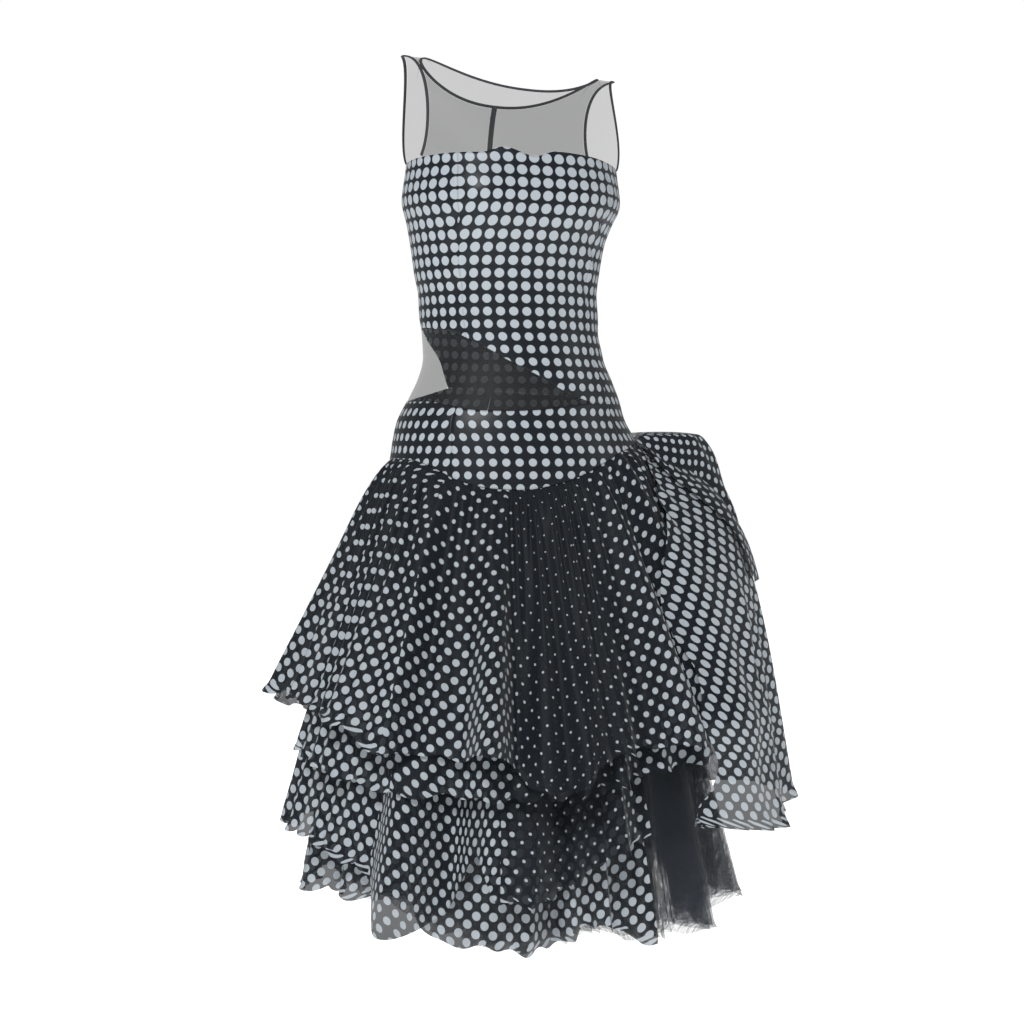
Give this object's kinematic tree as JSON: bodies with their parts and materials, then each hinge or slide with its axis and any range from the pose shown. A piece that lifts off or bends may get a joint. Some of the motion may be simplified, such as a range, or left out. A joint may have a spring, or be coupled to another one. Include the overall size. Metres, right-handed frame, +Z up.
{
  "type": "flamenco dress",
  "caption": "Sleeveless polka-dot party dress with sheer yoke and waist inset, fitted bodice and hip yoke, gathered uneven organza tiers, net petticoat and a side drape.",
  "frame": {"origin": "midway between the two shoulder straps, level with the higher one, where the wearer's shoulders hold the dress up", "axes": "+Z up, the front of the dress faces -Y, the wearer's left side is towards +X"},
  "size_m": [0.6711, 0.5836, 1.093],
  "materials": {
    "dotted_satin": "fitted stretch satin, navy black with light grey dots on a square grid",
    "dotted_organza": "sheer crisp organza, navy black with light grey dots whose size fades across the width",
    "stretch_mesh": "sheer black stretch mesh",
    "black_net": "stiff blue-black net",
    "binding": "matt black narrow binding",
    "zip": "black concealed zip tape and slider"
  },
  "bodies": {
    "root": {"armhole_binding_left": "binding", "armhole_binding_right": "binding", "back_panel_left": "dotted_satin", "back_panel_right": "dotted_satin", "back_zip": "zip", "bodice_side_right": "dotted_satin", "front_panel": "dotted_satin", "hip_puff": "dotted_organza", "hip_side_right": "dotted_satin", "neck_binding_back_left": "binding", "neck_binding_back_right": "binding", "neck_binding_front": "binding", "petticoat_back_left": "black_net", "petticoat_front_left": "black_net", "petticoat_front_right": "black_net", "petticoat_right": "black_net", "side_drape": "dotted_organza", "side_panel_left": "dotted_satin", "tier_1_back_left": "dotted_organza", "tier_1_back_right": "dotted_organza", "tier_1_centre": "dotted_organza", "tier_1_front_left": "dotted_organza", "tier_1_front_right": "dotted_organza", "tier_1_side_left": "dotted_organza", "tier_1_side_right": "dotted_organza", "tier_2_front": "dotted_organza", "tier_2_front_left": "dotted_organza", "tier_2_side_right": "dotted_organza", "tier_3_back_left": "dotted_organza", "tier_3_back_right": "dotted_organza", "tier_3_front": "dotted_organza", "tier_3_front_right": "dotted_organza", "tier_3_side_right": "dotted_organza", "tier_4_back_left": "dotted_organza", "tier_4_back_right": "dotted_organza", "tier_4_front": "dotted_organza", "tier_4_front_right": "dotted_organza", "tier_4_side_right": "dotted_organza", "waist_inset": "stretch_mesh", "yoke_back_left": "stretch_mesh", "yoke_back_right": "stretch_mesh", "yoke_front": "stretch_mesh", "zip_slider": "zip"}
  },
  "joints": []
}
